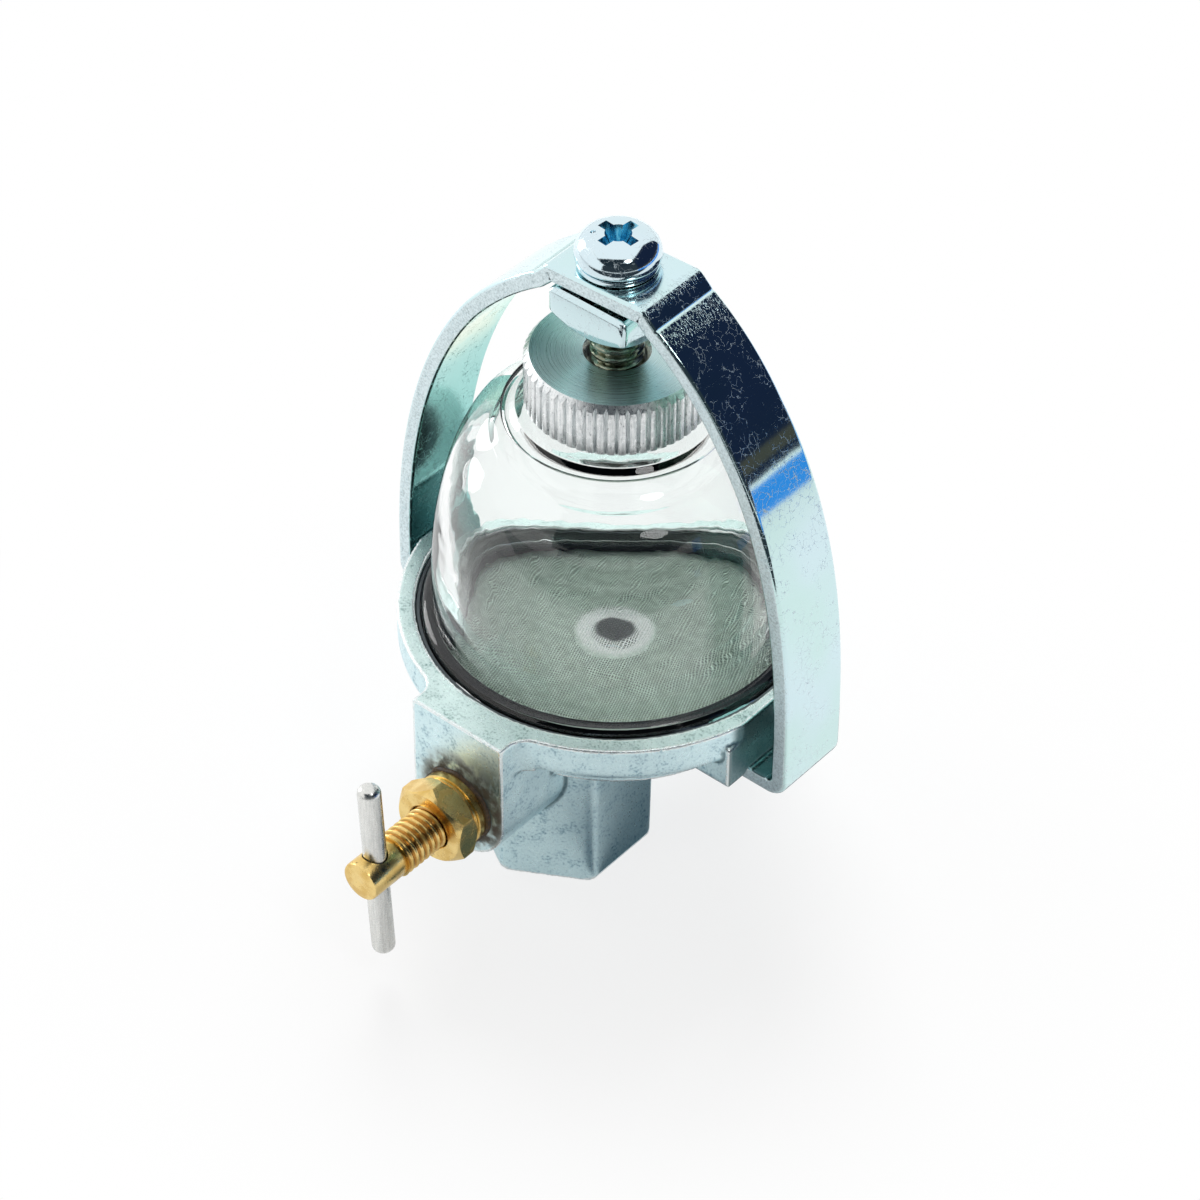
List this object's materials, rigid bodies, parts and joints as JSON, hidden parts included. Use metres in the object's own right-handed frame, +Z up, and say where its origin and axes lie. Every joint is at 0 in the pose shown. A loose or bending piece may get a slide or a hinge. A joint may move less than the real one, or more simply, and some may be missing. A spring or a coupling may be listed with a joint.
{
  "type": "compressed air filter with a glass bowl",
  "caption": "Bowl strainer filter: die-cast head with a hexagonal pipe port and a brass needle valve, glass bowl clamped by a strap bail with a knurled nut, wire screen across the bowl's mouth.",
  "frame": {"origin": "centre of the hexagonal pipe port on its end face, at the middle of the part's footprint", "axes": "+Z up along the bowl's axis, -Y towards the valve's handle, +X along the bail"},
  "size_m": [0.06, 0.0706, 0.0837],
  "materials": {
    "casting": "blasted die casting",
    "plated_steel": "bright zinc plating",
    "machined_metal": "turned and knurled",
    "brass": "turned",
    "steel": "satin",
    "tin": "satin",
    "wire_cloth": "woven wire",
    "rubber": "matt",
    "fibre": "matt",
    "glass": "clear moulded"
  },
  "bodies": {
    "head": {"body_casting": "casting", "valve_seat": "brass", "bowl_gasket": "rubber", "strainer_screen": "wire_cloth", "screen_rim": "tin", "glass_bowl": "glass", "bail_strap": "plated_steel", "clamp_screw": "plated_steel", "lock_washer": "plated_steel", "square_nut": "plated_steel", "valve_bonnet": "brass", "stem_packing": "rubber", "inner_packing_washer": "brass", "outer_packing_washer": "brass"},
    "pad": {"pressure_pad": "fibre"},
    "nut": {"thumb_nut": "machined_metal"},
    "needle": {"valve_needle": "steel"},
    "stem": {"valve_stem": "brass", "handle_pin": "steel"}
  },
  "joints": [
    {"name": "pad_lift", "type": "slide", "parent": "head", "child": "pad", "axis": [0, 0, 1], "range_m": [0, 0.00445]},
    {"name": "thumb_nut_turn", "type": "hinge", "parent": "pad", "child": "nut", "pos_m": [0, 0.0096, 0.06385], "axis": [0, 0, 1], "range_deg": [0, 1260]},
    {"name": "needle_travel", "type": "slide", "parent": "head", "child": "needle", "axis": [0, -1, 0], "range_m": [0, 0.00225]},
    {"name": "valve_stem_turn", "type": "hinge", "parent": "needle", "child": "stem", "pos_m": [0, -0.0323, 0.0168], "axis": [0, -1, 0], "range_deg": [0, 900]}
  ],
  "couplings": [
    {"joint": "pad_lift", "follows": "thumb_nut_turn", "m_per_rad": 0.00020213},
    {"joint": "needle_travel", "follows": "valve_stem_turn", "m_per_rad": 0.00014324}
  ]
}
